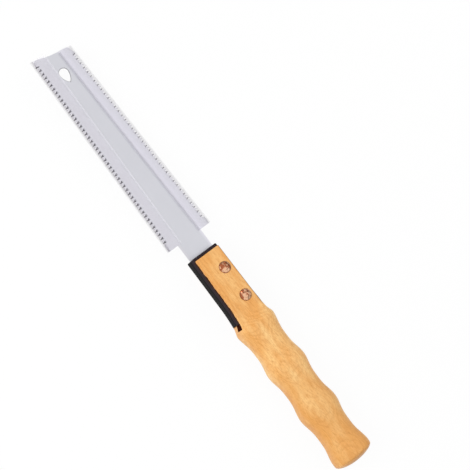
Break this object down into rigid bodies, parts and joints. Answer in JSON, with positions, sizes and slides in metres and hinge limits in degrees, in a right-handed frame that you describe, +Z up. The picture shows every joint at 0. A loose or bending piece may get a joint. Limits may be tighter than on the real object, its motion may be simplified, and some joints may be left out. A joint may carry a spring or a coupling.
{
  "type": "flush cut saw",
  "caption": "Double-edged flush cut pull saw: thin tapered blade with fine and coarse teeth under clear guards, black liners, copper rivets and a wavy beech handle.",
  "frame": {"origin": "middle of the saw's length and width, on the surface that it lies on", "axes": "+X along the saw towards the toe of the blade, +Y towards the fine teeth, +Z up, square to the blade's flat"},
  "size_m": [0.332, 0.0364, 0.0214],
  "materials": {
    "blade_steel": "fine ground",
    "clear_plastic": "clear, slightly hazy",
    "beech": "thin satin lacquer",
    "black_plastic": "satin moulded",
    "copper": "polished copper"
  },
  "bodies": {
    "saw": {"blade": "blade_steel", "handle": "beech", "upper_liner": "black_plastic", "lower_liner": "black_plastic", "front_rivet_post": "copper", "front_rivet_cap": "copper", "rear_rivet_post": "copper", "rear_rivet_cap": "copper"},
    "fine_guard": {"fine_guard": "clear_plastic"},
    "coarse_guard": {"coarse_guard": "clear_plastic"}
  },
  "joints": [
    {"name": "fine_guard_pull", "type": "slide", "parent": "saw", "child": "fine_guard", "axis": [0.0217, 0.9998, 0], "range_m": [0, 0.012]},
    {"name": "coarse_guard_pull", "type": "slide", "parent": "saw", "child": "coarse_guard", "axis": [0.0217, -0.9998, 0], "range_m": [0, 0.012]}
  ]
}
